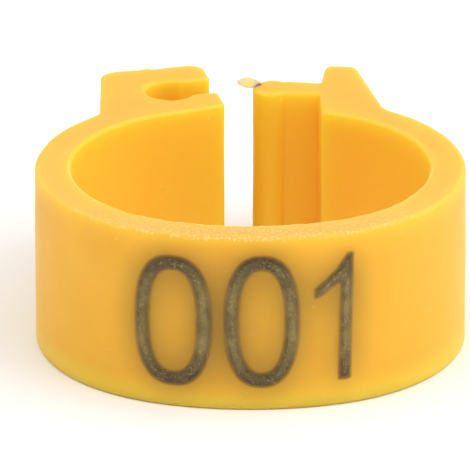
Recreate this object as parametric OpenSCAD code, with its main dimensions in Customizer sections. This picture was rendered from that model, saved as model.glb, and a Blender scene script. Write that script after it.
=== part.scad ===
// Clip-on leg band for poultry: one sprung plastic ring with a printed number, open at the back,
// where a bead on the tongue half snaps into a round seat in the socket half.
// The band stands on its lower edge with the number facing -Y, sprung open.

/* [Ring] */
// Height of the band along the bird's leg
band_height = 5; // [4:0.5:9]
// Thickness of the wall
wall = 0.96; // [0.8:0.02:1.2]
// Inside diameter of the two arms' curves, close to the ring size
ring_bore = 7.9; // [7:0.1:10]

/* [Front panel] */
// Mid-wall radius of the flatter front curve, which carries the number
bow_radius = 7.32; // [6.4:0.02:9]
// Half of the angle that the front curve spans
bow_half_angle = 18.35; // [15:0.05:21]
// Bearing on each arm where the flexing panel ends, from straight ahead
panel_end = 34; // [30:1:45]

/* [Socket] */
// Angle by which the tongue half swings in to close the ring
closing_angle = 15.8; // [12:0.1:18]
// Distance from the bore out to the middle of the round seat
seat_standoff = 1.6; // [1.5:0.05:2]
// Bearing of the seat's middle from straight back
seat_bearing = 13.5; // [12:0.5:16]
// Gap all round the seated bead
seat_clearance = 0.15; // [0.05:0.01:0.2]
// Length of the jaw and of the lip past the seat's middle
mouth_length = 1.26; // [1.1:0.02:1.6]
// Gap between the jaw and the bead as it slides in
jaw_clearance = 0.03; // [0.02:0.01:0.1]
// Gap between the lip's tooth and the seated tongue
lip_clearance = 0.03; // [0.02:0.01:0.1]
// Bearing from straight back at which the lip runs straight on from the bore
lip_departure = 22; // [18:1:26]
// Distance from the seat's middle to the socket lug's heel
heel_length = 1.58; // [1.4:0.02:2]

/* [Tongue] */
// Diameter of the round catch bead
bead_d = 1.04; // [0.9:0.02:1.2]
// Thickness of the tongue behind the bead
tongue_thickness = 0.6; // [0.4:0.02:0.7]
// How far the tongue's middle lies inside the bead's middle
tongue_inset = 0.08; // [0:0.01:0.12]
// Gap left at the jaw's and at the lip's end once the ring is closed
closed_gap = 0.05; // [0.03:0.01:0.2]
// Lean of the step face that meets the lip
step_lean = 6.5; // [0:0.5:10]
// Lean of the stop face that meets the jaw
stop_lean = 3.5; // [0:0.5:8]
// Width of the stop lug along its back
stop_width = 0.83; // [0.7:0.01:1.5]
// Lean of the stop lug's outer flank
flank_lean = 17; // [10:1:22]

/* [Lugs] */
// Distance from the seat's middle to the flat backs of both lugs
lug_back = 1.66; // [1.5:0.02:2]
// Radius of the lugs' outer corners
corner_r = 0.4; // [0.2:0.05:0.5]
// Radius of the corner on the stop lug beside the tongue
nose_r = 0.2; // [0.1:0.05:0.3]
// Radius of the fillet where a lug rises from the wall
fillet_r = 0.6; // [0.3:0.05:0.8]
// Radius of the small corners on the lip
lip_r = 0.12; // [0.05:0.01:0.2]

/* [Number] */
// Height of the digits
digit_height = 3.78; // [3:0.01:4]
// Width of a zero
zero_width = 2.14; // [1.6:0.02:2.2]
// Width of a one, from its flag to its stem
one_width = 1.2; // [0.9:0.05:1.3]
// Width of the printed line
stroke = 0.38; // [0.2:0.02:0.5]
// Thickness of the printed ink
ink = 0.02; // [0.01:0.01:0.05]
// Height of the middle of the digits above the band's middle
number_rise = 0.04; // [-0.2:0.01:0.2]
// Bearing of the hundreds digit round the front
hundreds_bearing = -15.8; // [-18:0.1:-13]
// Bearing of the tens digit round the front
tens_bearing = 1.9; // [-2:0.1:4]
// Bearing of the units digit round the front
units_bearing = 16.8; // [15:0.1:19]

/* [Hidden] */
$fn = 96;
plastic = "#F0B23C";
ink_colour = "#5D4E2D";
arc_steps = 10;
oval_power = 2.4;
root_margin = 1.5;
root_web = 8;
join = 0.2;
sink = 0.002;

// Ring: the front curve is centred on the plan origin, and both arms' curves run on from it.
bore_r = ring_bore / 2;
outer_r = bore_r + wall;
bow_outer_r = bow_radius + wall / 2;
arm_centre = (bow_radius - bore_r - wall / 2) * [sin(bow_half_angle), -cos(bow_half_angle)];
socket_arm_centre = [-arm_centre.x, arm_centre.y];
hinge = [0, -bow_radius];

// Clasp: all of it is drawn closed, about the seat, with the bead's way in along X.
seat = socket_arm_centre + (bore_r + seat_standoff) * [-sin(seat_bearing), cos(seat_bearing)];
clasp_turn = atan2(hinge.x - seat.x, seat.y - hinge.y);
seat_r = bead_d / 2 + seat_clearance;
jaw_face = bead_d / 2 + jaw_clearance;
tongue_front = -tongue_inset - tongue_thickness / 2;
tongue_back = tongue_front + tongue_thickness;
lip_face = tongue_front - lip_clearance;
tongue_root = mouth_length + closed_gap;
socket_ring = in_clasp(socket_arm_centre);
tongue_ring = in_clasp(hinge + turn(arm_centre - hinge, closing_angle));
stop_corner = [tongue_root + (lug_back - tongue_back) * tan(stop_lean), lug_back];
flank_top = stop_corner + [stop_width, 0];

// Place of the plan origin, so that the whole band is centred on the frame's origin.
jaw_corner = seat + turn([mouth_length - corner_r, lug_back - corner_r], clasp_turn);
stop_nose = hinge + turn(seat + turn(stop_corner + [nose_r, -nose_r], clasp_turn) - hinge, -closing_angle);
back_y = max(jaw_corner.y + corner_r, stop_nose.y + nose_r);
front_y = -bow_outer_r - ink;
plan_shift = -(back_y + front_y) / 2;

function turn(p, a) = [p.x * cos(a) - p.y * sin(a), p.x * sin(a) + p.y * cos(a)];
function in_clasp(p) = turn(p - seat, -clasp_turn);
function toward(p, q) = (q - p) / norm(q - p);
function ahead(a) = [sin(a), -cos(a)];

// Bearing of a point round a centre, from straight ahead, on either side
function bearing(p, centre) = atan2(abs(p.x - centre.x), centre.y - p.y);

// Arc that rounds corner p, between the points before and after it
function corner_arc(before, p, after, r) =
    let (u = toward(p, before), v = toward(p, after), half = acos(u * v) / 2,
         centre = p + toward([0, 0], u + v) * r / sin(half),
         from = p + u * r / tan(half) - centre, to = p + v * r / tan(half) - centre,
         start = atan2(from.y, from.x),
         sweep = atan2(from.x * to.y - from.y * to.x, from * to))
    [for (k = [0:arc_steps]) centre + r * [cos(start + sweep * k / arc_steps), sin(start + sweep * k / arc_steps)]];

// Outline through corners [x, y, radius]
function rounded(corners) =
    let (n = len(corners), flat = [for (c = corners) [c.x, c.y]])
    [for (i = [0:n - 1]) each corners[i].z > 0
        ? corner_arc(flat[(i + n - 1) % n], flat[i], flat[(i + 1) % n], corners[i].z)
        : [flat[i]]];

// Centre of the fillet between a straight face through p, with outward normal n, and a round wall
function fillet_centre(p, n, ring, up) =
    let (reach = n * (p - ring) + fillet_r, along = turn(n, up))
    ring + n * reach + along * sqrt((outer_r + fillet_r) ^ 2 - reach ^ 2);

// Point inside the bore that a lug's straight face through p, with outward normal n, runs down to
function foot(p, n, ring) =
    let (down = turn(n, 90))
    p + down * (ring.y + bore_r / 2 - p.y) / down.y;

// Slice of a ring between two bearings, drawn on the +X side
module ring_slice(inner, thickness, from, to) {
    intersection() {
        difference() {
            circle(inner + thickness);
            circle(inner);
        }
        polygon([[0, 0], for (k = [0:4]) 2 * (inner + thickness) * ahead(from + (to - from) * k / 4)]);
    }
}

// Web of plastic that fills the corner between a lug's side and the wall, outlined anticlockwise
module fillet(p, n, ring, up) {
    centre = fillet_centre(p, n, ring, up);
    on_face = centre - n * fillet_r;
    on_wall = ring + toward(ring, centre) * outer_r;
    corners = [on_face, on_wall, on_wall + toward(on_wall, ring) * wall / 2, on_face - n * wall / 2];
    difference() {
        polygon([for (i = [0:3]) corners[up < 0 ? i : 3 - i]]);
        translate(centre) circle(fillet_r + sink);
    }
}

// Places in plan
module in_frame() {
    translate([0, plan_shift]) children();
}

module at_seat() {
    translate(seat) rotate(clasp_turn) children();
}

module sprung_open() {
    translate(hinge) rotate(-closing_angle) translate(-hinge) at_seat() children();
}

module band(tint) {
    color(tint) linear_extrude(band_height) in_frame() children();
}

// Stretch of an arm's wall, and all that lies before a lug's root, drawn on the +X side
module arm_slice(from, to) {
    translate(arm_centre) ring_slice(bore_r, wall, from, to);
}

module before_root(root) {
    translate(arm_centre) ring_slice(bore_r / 2, 2 * bore_r, 0, root);
}

// Socket half, in plan: its heel face stands square to the front of the band.
heel_face = [-heel_length, lug_back];
heel_normal = turn([-1, 0], -clasp_turn);
heel_fillet = fillet_centre(heel_face, heel_normal, socket_ring, -90);
socket_root = bearing(seat + turn(heel_fillet, clasp_turn), socket_arm_centre) - root_margin;

module socket_block() {
    heel_foot = foot(heel_face, heel_normal, socket_ring);
    polygon(rounded([
        [heel_foot.x, heel_foot.y, 0],
        [mouth_length, heel_foot.y, 0],
        [mouth_length, lug_back, corner_r],
        [heel_face.x, heel_face.y, corner_r]
    ]));
    fillet(heel_face, heel_normal, socket_ring, -90);
}

module mouth() {
    circle(seat_r);
    polygon([[0, lip_face], [2 * mouth_length, lip_face], [2 * mouth_length, jaw_face], [0, jaw_face]]);
}

// Bore of the socket half, and the straight run on from it under the lip
module socket_bore() {
    leave = socket_ring + bore_r * turn([0, 1], lip_departure - clasp_turn);
    run = turn([1, 0], lip_departure - clasp_turn);
    translate(socket_ring) circle(bore_r);
    polygon([socket_ring, leave, leave + run * 4 * mouth_length, socket_ring + [4 * mouth_length, 0]]);
}

// Corners of the lip's end, rounded so that the bead rides over them
module lip_corner(before, p, after) {
    beyond = p + sink * (toward(before, p) + toward(after, p));
    polygon([beyond, each corner_arc(after, p, before, lip_r)]);
}

module lip_end() {
    leave = socket_ring + bore_r * turn([0, 1], lip_departure - clasp_turn);
    run = turn([1, 0], lip_departure - clasp_turn);
    low = leave + run * (mouth_length - leave.x) / run.x;
    high = [mouth_length, lip_face];
    lip_corner(leave, low, high);
    lip_corner(low, high, [0, lip_face]);
}

module lip_side() {
    polygon([[0, 0], [2 * mouth_length, 0], [2 * mouth_length, -ring_bore], [0, -ring_bore]]);
}

module socket_shape() {
    difference() {
        union() {
            mirror([1, 0]) arm_slice(socket_root, socket_root + root_web);
            at_seat() socket_block();
        }
        at_seat() mouth();
        at_seat() socket_bore();
        mirror([1, 0]) before_root(socket_root);
    }
}

// Tongue half, in plan
step_height = tongue_front - tongue_ring.y - bore_r + wall;
step_foot = [tongue_root + step_height * tan(step_lean), tongue_front - step_height];
flank_normal = turn([1, 0], flank_lean);
flank_fillet = fillet_centre(flank_top, flank_normal, tongue_ring, 90);
open_fillet = hinge + turn(seat + turn(flank_fillet, clasp_turn) - hinge, -closing_angle);
stop_root = bearing(open_fillet, arm_centre) - root_margin;

module stop_block() {
    flank_foot = foot(flank_top, flank_normal, tongue_ring);
    polygon(rounded([
        [step_foot.x, step_foot.y, 0],
        [flank_foot.x, flank_foot.y, 0],
        [flank_top.x, flank_top.y, corner_r],
        [stop_corner.x, stop_corner.y, nose_r],
        [tongue_root, tongue_back, 0],
        [tongue_root, tongue_front, 0]
    ]));
    fillet(flank_top, flank_normal, tongue_ring, 90);
}

// Digits, upright in their own plane
module oval(width, height) {
    polygon([for (a = [0:360 / 64:359])
        [width / 2 * sign(cos(a)) * abs(cos(a)) ^ (2 / oval_power),
         height / 2 * sign(sin(a)) * abs(sin(a)) ^ (2 / oval_power)]]);
}

module zero() {
    difference() {
        oval(zero_width, digit_height);
        oval(zero_width - 2 * stroke, digit_height - 2 * stroke);
    }
}

module one() {
    top = digit_height / 2;
    stem = one_width / 2 - stroke;
    fall = digit_height / 4;
    translate([stem, -top]) square([stroke, digit_height]);
    polygon([
        [stem + stroke, top],
        [stem + stroke * 0.7, top],
        [-one_width / 2, top - fall],
        [-one_width / 2, top - fall - stroke],
        [stem, top - fall],
        [stem + stroke, top - fall]
    ]);
}

// Wall of the front panel, or a skin on it, from a distance outside its bore side
module panel_wall(offset, thickness) {
    ring_slice(bow_radius - wall / 2 + offset, thickness, -bow_half_angle - join, bow_half_angle + join);
    for (side = [0, 1]) mirror([side, 0]) translate(arm_centre)
        ring_slice(bore_r + offset, thickness, bow_half_angle, panel_end);
}

// A digit printed on the front panel at its own bearing
module printed(digit_bearing) {
    color(ink_colour) intersection() {
        linear_extrude(band_height) in_frame() panel_wall(wall, ink);
        translate([0, plan_shift, band_height / 2 + number_rise]) rotate([90, 0, digit_bearing])
            linear_extrude(2 * bow_outer_r) children();
    }
}

module number_panel() {
    band(plastic) panel_wall(0, wall);
}

module digit_hundreds() {
    printed(hundreds_bearing) zero();
}

module digit_tens() {
    printed(tens_bearing) zero();
}

module digit_units() {
    printed(units_bearing) one();
}

module socket_arm() {
    band(plastic) mirror([1, 0]) arm_slice(panel_end, socket_root);
}

module socket_lug() {
    band(plastic) difference() {
        socket_shape();
        at_seat() lip_side();
    }
}

module socket_lip() {
    band(plastic) difference() {
        intersection() {
            socket_shape();
            at_seat() lip_side();
        }
        at_seat() lip_end();
    }
}

module tongue_arm() {
    band(plastic) arm_slice(panel_end, stop_root);
}

module stop_lug() {
    band(plastic) difference() {
        union() {
            sprung_open() stop_block();
            arm_slice(stop_root, stop_root + root_web);
        }
        translate(arm_centre) circle(bore_r);
        before_root(stop_root);
    }
}

module tongue() {
    band(plastic) sprung_open() difference() {
        polygon([[0, tongue_front], [tongue_root, tongue_front], [tongue_root, tongue_back], [0, tongue_back]]);
        circle(d = bead_d);
    }
}

module catch_bead() {
    band(plastic) sprung_open() circle(d = bead_d);
}

number_panel();
digit_hundreds();
digit_tens();
digit_units();
socket_arm();
socket_lug();
socket_lip();
tongue_arm();
stop_lug();
tongue();
catch_bead();
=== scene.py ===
from math import atan2, ceil, cos, pi, radians, sin, sqrt, tan, tau

import bmesh
import bpy
import numpy as np
from mathutils import Matrix, Vector, noise
from mathutils.bvhtree import BVHTree
from mathutils.geometry import intersect_line_sphere_2d


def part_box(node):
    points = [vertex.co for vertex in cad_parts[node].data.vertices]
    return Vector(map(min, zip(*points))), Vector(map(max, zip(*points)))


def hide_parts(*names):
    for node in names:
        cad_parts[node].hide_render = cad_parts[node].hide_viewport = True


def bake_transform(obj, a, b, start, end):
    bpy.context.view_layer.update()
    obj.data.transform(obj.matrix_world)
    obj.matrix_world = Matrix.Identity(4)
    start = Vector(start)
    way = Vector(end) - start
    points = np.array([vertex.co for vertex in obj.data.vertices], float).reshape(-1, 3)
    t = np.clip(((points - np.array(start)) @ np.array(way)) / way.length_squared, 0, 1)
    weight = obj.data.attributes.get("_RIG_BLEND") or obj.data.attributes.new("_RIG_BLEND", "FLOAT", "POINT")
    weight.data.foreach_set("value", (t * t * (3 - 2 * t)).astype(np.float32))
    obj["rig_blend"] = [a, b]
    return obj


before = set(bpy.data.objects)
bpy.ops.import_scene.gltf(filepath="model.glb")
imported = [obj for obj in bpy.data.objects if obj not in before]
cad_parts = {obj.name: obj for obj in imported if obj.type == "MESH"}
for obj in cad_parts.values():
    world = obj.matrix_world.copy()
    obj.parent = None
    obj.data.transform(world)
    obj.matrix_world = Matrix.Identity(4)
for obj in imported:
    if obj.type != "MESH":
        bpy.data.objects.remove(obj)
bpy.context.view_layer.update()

# ------------------------------------------------------------------------------------------------
# The band: one injection moulding in yellow polyamide, a C with a stiff arm on each side, a flatter
# front wall that flexes, and a snap clasp at its open back. Nothing is fixed to it. The outline of
# its lower edge is drawn in millimetres about the middle of the front curve, then pulled up 5 mm.
band_height = 5.0
wall = 0.96
arm_inside = 3.95
arm_outside = arm_inside + wall
front_inside = 6.84
front_outside = front_inside + wall
front_swing = radians(18.35)
closing_angle = radians(15.8)
bead_radius = 0.52
seat_radius = 0.67
jaw_face = 0.55
neck_back = 0.44
neck_front = -0.38
lip_face = -0.41
mouth_length = 1.26
neck_root = 1.31
lug_back = 1.66
heel_web_radius = 0.6
flank_web_radius = 0.8
rim_radius = 0.11
drawing_step = 0.1


def at(x, y):
    return Vector((x, y, 0.0))


def facing(bearing):
    return at(sin(bearing), -cos(bearing))


hinge = at(0, -(front_inside + front_outside) / 2)
front_middle = at(0, 0)
tongue_arm_middle = (front_inside - arm_inside) * facing(front_swing)
socket_arm_middle = (front_inside - arm_inside) * facing(-front_swing)
seat_middle = socket_arm_middle + (arm_inside + 1.6) * at(-sin(radians(13.5)), cos(radians(13.5)))
clasp_turn = atan2(hinge.x - seat_middle.x, seat_middle.y - hinge.y)
on_socket = Matrix.Translation(seat_middle) @ Matrix.Rotation(clasp_turn, 4, "Z")
opening = Matrix.Rotation(-closing_angle, 4, "Z")
swung_open = Matrix.Translation(hinge) @ opening @ Matrix.Translation(-hinge)
on_tongue = swung_open @ on_socket

moulding = bmesh.new()
flash_and_edge_highlight = moulding.verts.layers.float.new("flash_and_edge_highlight")
bore_side = moulding.verts.layers.float.new("bore_side")


def straight(vert, end):
    start = vert.co.copy()
    cuts = max(1, round((end - start).length / drawing_step))
    for k in range(cuts):
        vert = bmesh.ops.extrude_vert_indiv(moulding, verts=[vert])["verts"][0]
        vert.co = start.lerp(end, (k + 1) / cuts)
    return vert


def sweep(vert, middle, towards, way):
    before = vert.co - middle
    after = towards - middle
    swing = (atan2(after.y, after.x) - atan2(before.y, before.x)) * way % tau
    steps = max(3, ceil(swing * before.length / drawing_step))
    made = bmesh.ops.spin(
        moulding, geom=[vert], cent=middle, axis=(0, 0, 1), angle=swing * way, steps=steps
    )
    return next(g for g in made["geom_last"] if isinstance(g, bmesh.types.BMVert))


def corner(vert, tip, after, radius):
    back = (vert.co - tip).normalized()
    on = (after - tip).normalized()
    half = back.angle(on) / 2
    middle = tip + (back + on).normalized() * radius / sin(half)
    vert = straight(vert, tip + back * radius / tan(half))
    return sweep(vert, middle, tip + on * radius / tan(half), 1 if back.cross(on).z < 0 else -1)


def web_middle(face_point, outward, ring, up, radius):
    reach = outward.dot(face_point - ring) + radius
    along = Matrix.Rotation(up, 3, "Z") @ outward
    return ring + outward * reach + along * sqrt((arm_outside + radius) ** 2 - reach**2)


# Tongue half, in the clasp's own closed place: flank, back, stop face, neck, bead, neck, step.
tongue_ring = on_tongue.inverted() @ tongue_arm_middle
stop_corner = at(neck_root + 1.44 * tan(radians(3.5)), lug_back)
flank_top = stop_corner + at(0.83, 0)
flank_out = at(cos(radians(17)), sin(radians(17)))
flank_web = web_middle(flank_top, flank_out, tongue_ring, pi / 2, flank_web_radius)
step_lean = at(tan(radians(6.5)), -1)
neck_foot = at(neck_root, neck_front)
step_foot = min(
    intersect_line_sphere_2d(neck_foot.xy, (neck_foot + step_lean).xy, tongue_ring.xy, arm_inside, False),
    key=lambda p: abs(p.y - neck_front),
)

# Socket half, in the same place: lip, seat, jaw, back, heel.
socket_ring = on_socket.inverted() @ socket_arm_middle
heel_top = at(-1.58, lug_back)
heel_out = Matrix.Rotation(-clasp_turn, 3, "Z") @ at(-1, 0)
heel_web = web_middle(heel_top, heel_out, socket_ring, -pi / 2, heel_web_radius)
lip_slope = Matrix.Rotation(radians(22) - clasp_turn, 3, "Z") @ at(1, 0)
lip_start = socket_ring + arm_inside * (Matrix.Rotation(radians(22) - clasp_turn, 3, "Z") @ at(0, 1))
lip_low = lip_start + lip_slope * (mouth_length - lip_start.x) / lip_slope.x
tooth = at(sqrt(seat_radius**2 - lip_face**2), lip_face)
jaw_root = at(sqrt(seat_radius**2 - jaw_face**2), jaw_face)

# Round the whole C once, anticlockwise: outside of the front and of the tongue arm first.
start = moulding.verts.new(front_outside * facing(0))
pen = sweep(start, front_middle, facing(front_swing), 1)
pen = sweep(pen, tongue_arm_middle, on_tongue @ flank_web, 1)
pen = sweep(pen, on_tongue @ flank_web, on_tongue @ (flank_web - flank_out * flank_web_radius), -1)
pen = corner(pen, on_tongue @ flank_top, on_tongue @ stop_corner, 0.4)
pen = corner(pen, on_tongue @ stop_corner, on_tongue @ at(neck_root, neck_back), 0.2)
pen = corner(pen, on_tongue @ at(neck_root, neck_back), on_tongue @ at(0, neck_back), 0.05)
pen = straight(pen, on_tongue @ at(sqrt(bead_radius**2 - neck_back**2), neck_back))
bead_front = on_tongue @ at(sqrt(bead_radius**2 - neck_front**2), neck_front)
pen = sweep(pen, on_tongue @ at(0, 0), bead_front, 1)
pen = corner(pen, on_tongue @ neck_foot, on_tongue @ at(*step_foot), 0.05)
pen = straight(pen, on_tongue @ at(*step_foot))
# Bore side, from the step back round to the lip.
pen = sweep(pen, tongue_arm_middle, tongue_arm_middle + facing(front_swing), -1)
pen = sweep(pen, front_middle, facing(-front_swing), -1)
pen = sweep(pen, socket_arm_middle, on_socket @ lip_start, -1)
pen = corner(pen, on_socket @ lip_low, on_socket @ at(mouth_length, lip_face), 0.14)
pen = corner(pen, on_socket @ at(mouth_length, lip_face), on_socket @ tooth, 0.14)
pen = straight(pen, on_socket @ tooth)
pen = sweep(pen, seat_middle, on_socket @ jaw_root, -1)
pen = corner(pen, on_socket @ at(mouth_length, jaw_face), on_socket @ at(mouth_length, lug_back), 0.14)
pen = corner(pen, on_socket @ at(mouth_length, lug_back), on_socket @ heel_top, 0.4)
pen = corner(pen, on_socket @ heel_top, on_socket @ (heel_web - heel_out * heel_web_radius), 0.4)
pen = straight(pen, on_socket @ (heel_web - heel_out * heel_web_radius))
pen = sweep(pen, on_socket @ heel_web, socket_arm_middle, -1)
pen = sweep(pen, socket_arm_middle, socket_arm_middle + facing(-front_swing), 1)
pen = sweep(pen, front_middle, facing(0), 1)
bmesh.ops.remove_doubles(moulding, verts=moulding.verts[:], dist=0.004)
base = bmesh.ops.contextual_create(moulding, geom=moulding.edges[:])["faces"][0]

# Pulled up to its full height, with the mould's small radius along both rims.
risen = bmesh.ops.extrude_face_region(moulding, geom=[base])["geom"]
bmesh.ops.translate(
    moulding, verts=[g for g in risen if isinstance(g, bmesh.types.BMVert)], vec=(0, 0, band_height)
)
rims = [e for e in moulding.edges if abs(e.verts[0].co.z - e.verts[1].co.z) < 0.01]
bmesh.ops.bevel(
    moulding, geom=rims, offset=rim_radius, offset_type="OFFSET", segments=5, profile=0.5,
    affect="EDGES", material=-1, clamp_overlap=False,
)
uprights = [e for e in moulding.edges if abs(e.verts[0].co.z - e.verts[1].co.z) > band_height / 2]
bmesh.ops.subdivide_edges(moulding, edges=uprights, cuts=36, use_grid_fill=True)

# Two bits of flash left by the mould: a leaf at the bead's top and a whisker on the heel's back edge.
leaf_half_size = (0.34, 0.19, 0.02, 1)
leaf = Matrix.Translation((-0.03, 3.06, 5.035)) @ Matrix.Rotation(radians(7), 4, "Y")
leaf = leaf @ Matrix.Rotation(radians(24), 4, "X") @ Matrix.Diagonal(leaf_half_size)
leaf_verts = bmesh.ops.create_uvsphere(
    moulding, u_segments=20, v_segments=10, radius=1, matrix=leaf
)["verts"]
whisker = Matrix.Translation((-2.72, 4.36, 4.95)) @ Matrix.Rotation(radians(-62), 4, "Z")
whisker = whisker @ Matrix.Rotation(radians(-90), 4, "X")
whisker_verts = bmesh.ops.create_cone(
    moulding, cap_ends=True, segments=8, radius1=0.03, radius2=0.006, depth=0.42, matrix=whisker
)["verts"]
flash_verts = leaf_verts + whisker_verts
bmesh.ops.recalc_face_normals(moulding, faces=moulding.faces[:])

# The wall is never quite true: long shallow waves in the sides, and a ragged line of flash where
# the two halves of the mould met along the top of the bore. A fainter pale line along the outer
# top edge at the front is a painted highlight.
side_wave = 0.012
top_wave = 0.02
flash_band = 0.09
flash_reach = 0.12
crease = radians(35)
moulding.verts.ensure_lookup_table()
for vert in moulding.verts:
    across = abs(vert.co.x) > abs(vert.co.y) * tan(front_swing) or vert.co.y > 0
    side = tongue_arm_middle if vert.co.x > 0 else socket_arm_middle
    depth = (arm_outside - (vert.co - side).xy.length) if across else (front_outside - vert.co.xy.length)
    ahead = vert.co.y < tongue_arm_middle.y
    near_top = max(0.0, 1 - (band_height - vert.co.z) / flash_band)
    if ahead and near_top > 0:
        vert[flash_and_edge_highlight] = near_top * max(0.0, 1 - abs(depth - wall) / flash_band)
        # Painted highlight: a fainter pale line along the outer top edge at the front, in the same mask as
        # the flash.
        vert[flash_and_edge_highlight] += 0.35 * near_top * max(0.0, 1 - abs(depth - 0.06) / flash_band)
    inward = (at(0, tongue_arm_middle.y) - vert.co).xy.to_3d().normalized().dot(vert.normal)
    vert[bore_side] = min(1.0, max(0.0, 2.5 * inward))
    wave = noise.noise(vert.co * 0.45) + 0.4 * noise.noise(vert.co * 1.3)
    vert.co += vert.normal.xy.to_3d() * wave * side_wave
    if near_top > 0:
        vert.co += vert.normal * noise.noise(vert.co * 3.1) * near_top * top_wave
for vert in flash_verts:
    vert[flash_and_edge_highlight] = 1.0
    vert.co += Vector((0, 0.8, 0.4)) * noise.noise(vert.co * 4) * 0.05
for vert in set(moulding.verts) - set(flash_verts):
    if vert[flash_and_edge_highlight] > 0.35:
        ragged = noise.noise(vert.co * 4.5) + 0.7 * noise.noise(vert.co * 9)
        vert.co += Vector((0, 0.8, 0.5)) * max(0.0, ragged) * vert[flash_and_edge_highlight] * flash_reach
for edge in moulding.edges:
    edge.smooth = edge.calc_face_angle(0) < crease
for face in moulding.faces:
    face.smooth = len(face.verts) < 5

# From the maker's drawing to the band's place: millimetres to metres, front wall on the CAD's.
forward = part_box("number_panel")[0][1] / 0.001 + front_outside
to_place = Matrix.Scale(0.001, 4) @ Matrix.Translation(at(0, forward))
bmesh.ops.transform(moulding, matrix=to_place, verts=moulding.verts[:])
band_mesh = bpy.data.meshes.new("band_moulding")
moulding.to_mesh(band_mesh)
band = bpy.data.objects.new("band_moulding", band_mesh)
bpy.context.scene.collection.objects.link(band)


def hex_colour(code):
    parts = [int(code[i : i + 2], 16) / 255 for i in (1, 3, 5)]
    return (*(c / 12.92 if c < 0.04045 else ((c + 0.055) / 1.055) ** 2.4 for c in parts), 1)


def node(material, kind, settings=None, **links):
    made = material.node_tree.nodes.new(kind)
    for name, value in (settings or {}).items():
        if isinstance(name, int) or name in made.inputs:
            made.inputs[name].default_value = value
        else:
            setattr(made, name, value)
    for name, socket in links.items():
        key = int(name[1:]) if name[1:].isdigit() else name.replace("_", " ")
        material.node_tree.links.new(socket, made.inputs[key])
    return made


# Polyamide coloured right through, from a fine spark-eroded mould: a satin skin that lets light a
# millimetre in, so thin walls glow and edges look pale. Its colour clouds over 2.4 mm, its skin waves
# over 1.4 mm, its grit is 0.11 mm, and its flash is ragged over 0.2 mm.
polyamide = bpy.data.materials.new("yellow polyamide, moulded satin")
polyamide.use_nodes = True
polyamide.node_tree.nodes.clear()
place = node(polyamide, "ShaderNodeTexCoord").outputs["Object"]
clouds = node(polyamide, "ShaderNodeTexNoise", {"Scale": 420.0, "Detail": 3.0}, Vector=place)
tint = node(polyamide, "ShaderNodeValToRGB", Fac=clouds.outputs["Fac"])
tint.color_ramp.elements[0].position = 0.3
tint.color_ramp.elements[0].color = hex_colour("#E4AE26")
tint.color_ramp.elements[1].position = 0.7
tint.color_ramp.elements[1].color = hex_colour("#EBB62C")
flash_and_highlight_place = node(polyamide, "ShaderNodeAttribute", {"attribute_name": "flash_and_edge_highlight"})
ragged = node(polyamide, "ShaderNodeTexNoise", {"Scale": 5200.0, "Detail": 2.0}, Vector=place)
# Painted light: the bore side is painted lighter and yellower than the outside, standing in for how light
# falls inside the bore.
bore = node(polyamide, "ShaderNodeAttribute", {"attribute_name": "bore_side"})
painted_bore_light = node(
    polyamide, "ShaderNodeMix", {"data_type": "RGBA", 7: hex_colour("#F6C638")},
    _0=bore.outputs["Fac"], _6=tint.outputs["Color"],
)
# Painted light: both rims are painted lighter for the light that comes through them; the lowest 0.9 mm of
# the outside most, the top only faintly.
height = node(polyamide, "ShaderNodeSeparateXYZ", Vector=place)
low_rim_glow = node(
    polyamide, "ShaderNodeMapRange",
    {"interpolation_type": "SMOOTHSTEP", "From Min": 0.0009, "From Max": 0.0, "To Max": 0.9},
    Value=height.outputs["Z"],
)
high_rim_glow = node(
    polyamide, "ShaderNodeMapRange",
    {"interpolation_type": "SMOOTHSTEP", "From Min": 0.0043, "From Max": 0.0049, "To Max": 0.1},
    Value=height.outputs["Z"],
)
rim_glow_mask = node(
    polyamide, "ShaderNodeMath", {"operation": "MAXIMUM"},
    _0=low_rim_glow.outputs["Result"], _1=high_rim_glow.outputs["Result"],
)
painted_rim_glow = node(
    polyamide, "ShaderNodeMix", {"data_type": "RGBA", 7: hex_colour("#FBCB3C")},
    _0=rim_glow_mask.outputs[0], _6=painted_bore_light.outputs[2],
)
# Painted shade: the wall is painted darker where the ink keeps light out of the plastic.
ink_shade = node(polyamide, "ShaderNodeAttribute", {"attribute_name": "ink_shade"})
painted_ink_shade = node(
    polyamide, "ShaderNodeMix", {"data_type": "RGBA", 7: hex_colour("#8E6210")},
    _0=ink_shade.outputs["Fac"], _6=painted_rim_glow.outputs[2],
)
flash_and_highlight_here = node(
    polyamide, "ShaderNodeMath", {"operation": "MULTIPLY", "use_clamp": True},
    _0=flash_and_highlight_place.outputs["Fac"], _1=ragged.outputs["Fac"],
)
# Pale where the flash is, and a painted highlight along the outer top edge at the front.
pale = node(
    polyamide, "ShaderNodeMix", {"data_type": "RGBA", 7: hex_colour("#FFE3A8")},
    _0=flash_and_highlight_here.outputs[0], _6=painted_ink_shade.outputs[2],
)
# The top of the front wall is scuffed and grainy, with pale specks 0.05 mm across; a few lie elsewhere.
spot = node(polyamide, "ShaderNodeSeparateXYZ", Vector=place)
on_top = node(
    polyamide, "ShaderNodeMapRange", {"From Min": 0.00487, "From Max": 0.00497}, Value=spot.outputs["Z"]
)
in_front = node(
    polyamide, "ShaderNodeMapRange", {"From Min": -0.0034, "From Max": -0.0056}, Value=spot.outputs["Y"]
)
scuffed = node(
    polyamide, "ShaderNodeMath", {"operation": "MULTIPLY"},
    _0=on_top.outputs["Result"], _1=in_front.outputs["Result"],
)
flecks = node(polyamide, "ShaderNodeTexNoise", {"Scale": 11000.0, "Detail": 2.0}, Vector=place)
fleck = node(
    polyamide, "ShaderNodeMapRange", {"From Min": 0.5, "From Max": 0.7, "To Max": 0.38},
    Value=flecks.outputs["Fac"],
)
top_fleck = node(
    polyamide, "ShaderNodeMath", {"operation": "MULTIPLY"},
    _0=fleck.outputs["Result"], _1=scuffed.outputs[0],
)
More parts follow.
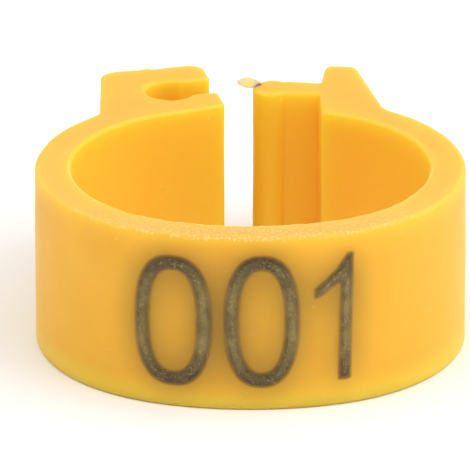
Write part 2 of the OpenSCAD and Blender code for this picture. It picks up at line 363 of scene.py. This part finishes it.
stray = node(
    polyamide, "ShaderNodeMapRange", {"From Min": 0.73, "From Max": 0.78, "To Max": 0.5},
    Value=flecks.outputs["Fac"],
)
all_flecks = node(
    polyamide, "ShaderNodeMath", {"operation": "MAXIMUM"},
    _0=top_fleck.outputs[0], _1=stray.outputs["Result"],
)
# Painted shade: every top face is painted a darker orange, a little at the back and most at the front.
top_shade_amount = node(
    polyamide, "ShaderNodeMapRange",
    {"From Min": -0.0034, "From Max": -0.0056, "To Min": 0.22, "To Max": 0.5}, Value=spot.outputs["Y"],
)
top_shade_mask = node(
    polyamide, "ShaderNodeMath", {"operation": "MULTIPLY"},
    _0=on_top.outputs["Result"], _1=top_shade_amount.outputs["Result"],
)
painted_top_shade = node(
    polyamide, "ShaderNodeMix", {"data_type": "RGBA", 7: hex_colour("#CF9A3A")},
    _0=top_shade_mask.outputs[0], _6=pale.outputs[2],
)
flecked = node(
    polyamide, "ShaderNodeMix", {"data_type": "RGBA", 7: hex_colour("#FFEBC0")},
    _0=all_flecks.outputs[0], _6=painted_top_shade.outputs[2],
)
grit = node(polyamide, "ShaderNodeTexNoise", {"Scale": 9000.0, "Detail": 2.0}, Vector=place)
skin = node(
    polyamide, "ShaderNodeBump", {"Strength": 0.12, "Distance": 0.00002}, Height=grit.outputs["Fac"]
)
waves = node(polyamide, "ShaderNodeTexNoise", {"Scale": 700.0, "Detail": 2.0}, Vector=place)
relief = node(
    polyamide, "ShaderNodeBump", {"Strength": 0.35, "Distance": 0.00003},
    Height=waves.outputs["Fac"], Normal=skin.outputs["Normal"],
)
scratched = node(
    polyamide, "ShaderNodeBump", {"Distance": 0.000018},
    Strength=scuffed.outputs[0], Height=flecks.outputs["Fac"], Normal=relief.outputs["Normal"],
)
plastic = node(
    polyamide, "ShaderNodeBsdfPrincipled",
    {
        "Roughness": 0.48, "IOR": 1.53, "Subsurface Weight": 0.85, "Subsurface Scale": 0.0014,
        "Subsurface Radius": (1.0, 0.9, 0.3), "Specular IOR Level": 0.35,
    },
    Base_Color=flecked.outputs[2], Normal=scratched.outputs["Normal"],
)
node(polyamide, "ShaderNodeOutputMaterial", Surface=plastic.outputs["BSDF"])
band_mesh.materials.append(polyamide)

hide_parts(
    "number_panel", "socket_arm", "socket_lug", "socket_lip",
    "tongue_arm", "stop_lug", "tongue", "catch_bead",
)
flex_start = (-0.0034, 0, 0)
flex_end = (0.0034, 0, 0)
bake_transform(band, "socket_half", "tongue_half", start=flex_start, end=flex_end)
# Only the front wall flexes: behind the arms' middles, each side of the clasp keeps to its own half.
clasp_gap = -0.0005
for vert, share in zip(band_mesh.vertices, band_mesh.attributes["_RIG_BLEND"].data):
    if vert.co.y > (tongue_arm_middle.y + forward) * 0.001:
        share.value = 1.0 if vert.co.x > clasp_gap else 0.0

# ------------------------------------------------------------------------------------------------
# The printed number: three digits of thin dark ink, pad-printed on the front wall. Each is a film
# that follows the wall, a hundredth of a millimetre proud and thinner towards its rim.
digit_height = 3.72
film = 0.012
wall_tree = BVHTree.FromBMesh(moulding)


def printed(digit, name, bearing, middle, stands_for):
    edge_share = digit.verts.layers.float.get("edge")
    turn = Matrix.Rotation(bearing, 4, "Z")
    for vert in digit.verts:
        aim = to_place @ turn @ Vector((vert.co.x, -9.0, middle + vert.co.z))
        spot, out, _, _ = wall_tree.ray_cast(aim, (turn @ Vector((0, 1, 0))))
        vert.co = spot + out * film * 0.001 * (1 - 0.9 * vert[edge_share])
    bmesh.ops.recalc_face_normals(digit, faces=digit.faces[:])
    if digit.faces[0].normal.y > 0:
        bmesh.ops.reverse_faces(digit, faces=digit.faces[:])
    bmesh.ops.solidify(digit, geom=digit.faces[:], thickness=-0.00002)
    for face in digit.faces:
        face.smooth = True
    mesh = bpy.data.meshes.new(name)
    digit.to_mesh(mesh)
    digit.free()
    piece = bpy.data.objects.new(name, mesh)
    bpy.context.scene.collection.objects.link(piece)
    mesh.materials.append(ink)
    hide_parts(stands_for)
    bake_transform(piece, "socket_half", "tongue_half", start=flex_start, end=flex_end)
    return piece


# Matt printing ink, thin enough for the yellow to warm it, soft at its edges and pricked with
# pinholes 0.05 mm across where it did not take. Its cover is uneven over 0.4 mm.
ink = bpy.data.materials.new("pad-printing ink, matt olive black")
ink.use_nodes = True
ink.node_tree.nodes.clear()
place = node(ink, "ShaderNodeTexCoord").outputs["Object"]
cover = node(ink, "ShaderNodeTexNoise", {"Scale": 2600.0, "Detail": 3.0}, Vector=place)
depth = node(ink, "ShaderNodeValToRGB", Fac=cover.outputs["Fac"])
depth.color_ramp.elements[0].position = 0.3
depth.color_ramp.elements[0].color = hex_colour("#5E4E1F")
depth.color_ramp.elements[1].position = 0.72
depth.color_ramp.elements[1].color = hex_colour("#957E44")
holes = node(ink, "ShaderNodeTexNoise", {"Scale": 21000.0, "Detail": 1.0}, Vector=place)
pricked = node(
    ink, "ShaderNodeMapRange", {"From Min": 0.56, "From Max": 0.7, "To Max": 0.7},
    Value=holes.outputs["Fac"],
)
spot = node(ink, "ShaderNodeSeparateXYZ", Vector=place)
off_middle = node(ink, "ShaderNodeMath", {"operation": "SUBTRACT", 1: 0.00255}, _0=spot.outputs["Z"])
how_far = node(ink, "ShaderNodeMath", {"operation": "ABSOLUTE"}, _0=off_middle.outputs[0])
heavy = node(
    ink, "ShaderNodeMapRange", {"From Min": 0.0008, "From Max": 0.0017, "To Max": 0.8},
    Value=how_far.outputs[0],
)
laid = node(
    ink, "ShaderNodeMix", {"data_type": "RGBA", 7: hex_colour("#382D10")},
    _0=heavy.outputs["Result"], _6=depth.outputs["Color"],
)
speck = node(
    ink, "ShaderNodeMix", {"data_type": "RGBA", 7: hex_colour("#AF9B68")},
    _0=pricked.outputs["Result"], _6=laid.outputs[2],
)
rim = node(ink, "ShaderNodeAttribute", {"attribute_name": "edge"})
thins = node(
    ink, "ShaderNodeMapRange", {"From Max": 0.9, "To Min": 0.95, "To Max": 0.0},
    Value=rim.outputs["Fac"],
)
grain_height = node(
    ink, "ShaderNodeBump", {"Strength": 0.3, "Distance": 0.00001}, Height=holes.outputs["Fac"]
)
matt = node(
    ink, "ShaderNodeBsdfPrincipled", {"Roughness": 0.5, "IOR": 1.5},
    Base_Color=speck.outputs[2], Alpha=thins.outputs["Result"], Normal=grain_height.outputs["Normal"],
)
node(ink, "ShaderNodeOutputMaterial", Surface=matt.outputs["BSDF"])


def zero(width, height, side_stroke, end_stroke, power):
    digit = bmesh.new()
    edge_share = digit.verts.layers.float.new("edge")
    loops = []
    for share in (0.0, 0.1, 0.2, 0.3, 0.4, 0.5, 0.6, 0.7, 0.8, 0.9, 1.0):
        ring = bmesh.ops.create_circle(digit, cap_ends=False, radius=1, segments=96)["verts"]
        for vert in ring:
            x, z = vert.co.x, vert.co.y
            half_width = width / 2 - side_stroke * share
            half_height = height / 2 - end_stroke * share
            vert.co.x = half_width * abs(x) ** (2 / power) * (1 if x > 0 else -1)
            vert.co.z = half_height * abs(z) ** (2 / power) * (1 if z > 0 else -1)
            vert.co.y = 0
            vert[edge_share] = max(0.0, 1 - min(share, 1 - share) / 0.42)
        loops.append([e for e in digit.edges if e.verts[0] in ring and e.verts[1] in ring])
    for outer, inner in zip(loops, loops[1:]):
        bmesh.ops.bridge_loops(digit, edges=outer + inner)
    return digit


# Each zero's width, height, stroke at its sides and at its ends, and how square its curve is.
digits = [
    printed(zero(2.26, 3.88, 0.54, 0.52, 2.5), "ink_hundreds", radians(-15.55), 2.52, "digit_hundreds"),
    printed(zero(2.16, 3.94, 0.53, 0.54, 2.4), "ink_tens", radians(2.2), 2.59, "digit_tens"),
]

# The one: a thin flag that drops from the top of an upright stem, with no foot.
one = bmesh.new()
edge_share = one.verts.layers.float.new("edge")
top = digit_height / 2
outline = [
    (0.67, top + 0.03), (0.42, top + 0.03), (0.25, top - 0.22), (0.10, top - 0.43), (-0.12, top - 0.64),
    (-0.36, top - 0.84), (-0.53, top - 0.98), (-0.53, top - 1.36), (-0.32, top - 1.3), (0.0, top - 1.08),
    (0.2, top - 0.94), (0.13, -top - 0.04), (0.6, -top - 0.04),
]
pen = one.verts.new((outline[0][0], 0, outline[0][1]))
first = pen
for x, z in outline[1:]:
    pen = bmesh.ops.extrude_vert_indiv(one, verts=[pen])["verts"][0]
    pen.co = (x, 0, z)
one.edges.new((pen, first))
bmesh.ops.contextual_create(one, geom=one.edges[:])
for level in range(76):
    bmesh.ops.bisect_plane(
        one, geom=one.verts[:] + one.edges[:] + one.faces[:],
        plane_co=(0, 0, -top + 0.07 + 0.05 * level), plane_no=(0, 0, 1),
    )
for level in range(22):
    bmesh.ops.bisect_plane(
        one, geom=one.verts[:] + one.edges[:] + one.faces[:],
        plane_co=(-0.51 + 0.0527 * level, 0, 0), plane_no=(1, 0, 0),
    )
bmesh.ops.dissolve_degenerate(one, dist=0.003, edges=one.edges[:])
sides = [(Vector(a), Vector(b)) for a, b in zip(outline, outline[1:] + outline[:1])]
for vert in one.verts:
    gaps = []
    for a, b in sides:
        along = min(1.0, max(0.0, (vert.co.xz - a).dot(b - a) / (b - a).length_squared))
        gaps.append((vert.co.xz - a.lerp(b, along)).length)
    vert[edge_share] = max(0.0, 1 - min(gaps) / 0.2)
digits.append(printed(one, "ink_units", radians(16.1), 2.6, "digit_units"))

# Painted shade: the ink keeps light out of the plastic, so the wall is painted darker between and beside the
# strokes.
reach = 0.0005
dots = np.array([tuple(f.center) for o in digits for f in o.data.polygons])
areas = np.array([f.area for o in digits for f in o.data.polygons]) / 2
shade = band_mesh.attributes.new("ink_shade", "FLOAT", "POINT")
for vert, share in zip(band_mesh.vertices, shade.data):
    if vert.co.y < -0.0042 and vert.normal.y < -0.5:
        gaps = ((dots - np.array(vert.co)) ** 2).sum(axis=1)
        cover = float((areas * np.exp(-gaps / (2 * reach**2))).sum() / (tau * reach**2))
        share.value = max(0.0, 1.25 * (cover - 0.08))

# ------------------------------------------------------------------------------------------------
# Where it stands: a plain white table under broad soft lights, the strongest from the right.
table = bmesh.new()
bmesh.ops.create_grid(table, x_segments=1, y_segments=1, size=0.6)
table_mesh = bpy.data.meshes.new("table")
table.to_mesh(table_mesh)
table_top = bpy.data.objects.new("table", table_mesh)
bpy.context.scene.collection.objects.link(table_top)
# White card, matt: it takes a soft shadow and shows no gloss.
white = bpy.data.materials.new("white card, matt")
white.use_nodes = True
white.node_tree.nodes.clear()
card = node(white, "ShaderNodeBsdfPrincipled", {"Base Color": hex_colour("#F7F7F6"), "Roughness": 0.9})
node(white, "ShaderNodeOutputMaterial", Surface=card.outputs["BSDF"])
table_mesh.materials.append(white)

room = bpy.data.worlds.new("soft white room")
room.use_nodes = True
room.node_tree.nodes.clear()
towards = node(room, "ShaderNodeTexCoord").outputs["Generated"]
split = node(room, "ShaderNodeSeparateXYZ", Vector=towards)
glow = node(
    room, "ShaderNodeMapRange", {"From Min": -1.0, "From Max": 1.0, "To Min": 0.34, "To Max": 0.95},
    Value=split.outputs["Y"],
)
lit = node(room, "ShaderNodeBackground", Strength=glow.outputs["Result"])
seen = node(room, "ShaderNodeBackground", {"Color": (1, 1, 1, 1), "Strength": 1.0})
lit.inputs["Color"].default_value = (1, 1, 1, 1)
paths = node(room, "ShaderNodeLightPath")
both = node(
    room, "ShaderNodeMixShader",
    _0=paths.outputs["Is Camera Ray"], _1=lit.outputs[0], _2=seen.outputs[0],
)
node(room, "ShaderNodeOutputWorld", Surface=both.outputs[0])
bpy.context.scene.world = room
bpy.context.scene.view_settings.view_transform = "Standard"

for name, spot, size, power in (
    ("light_right", (0.12, -0.03, 0.09), 0.16, 0.12),
    ("light_above", (0.01, -0.06, 0.15), 0.24, 0.155),
    ("light_left", (-0.12, -0.02, 0.09), 0.12, 0.032),
):
    lamp = bpy.data.lights.new(name, "AREA")
    lamp.energy = power
    lamp.size = size
    holder = bpy.data.objects.new(name, lamp)
    holder.location = spot
    holder.rotation_euler = (Vector((0, 0, 0.0025)) - Vector(spot)).to_track_quat("-Z", "Y").to_euler()
    bpy.context.scene.collection.objects.link(holder)

view = bpy.data.cameras.new("camera")
view.lens = 987
view.clip_start = 0.01
view.clip_end = 5
camera = bpy.data.objects.new("camera", view)
looked_at = Vector((-0.418, -0.025, 2.53)) * 0.001
distance = 0.35
tilt = radians(23)
camera.location = looked_at + distance * Vector((0, -cos(tilt), sin(tilt)))
camera.rotation_euler = (radians(90) - tilt, 0, 0)
bpy.context.scene.collection.objects.link(camera)
bpy.context.scene.camera = camera
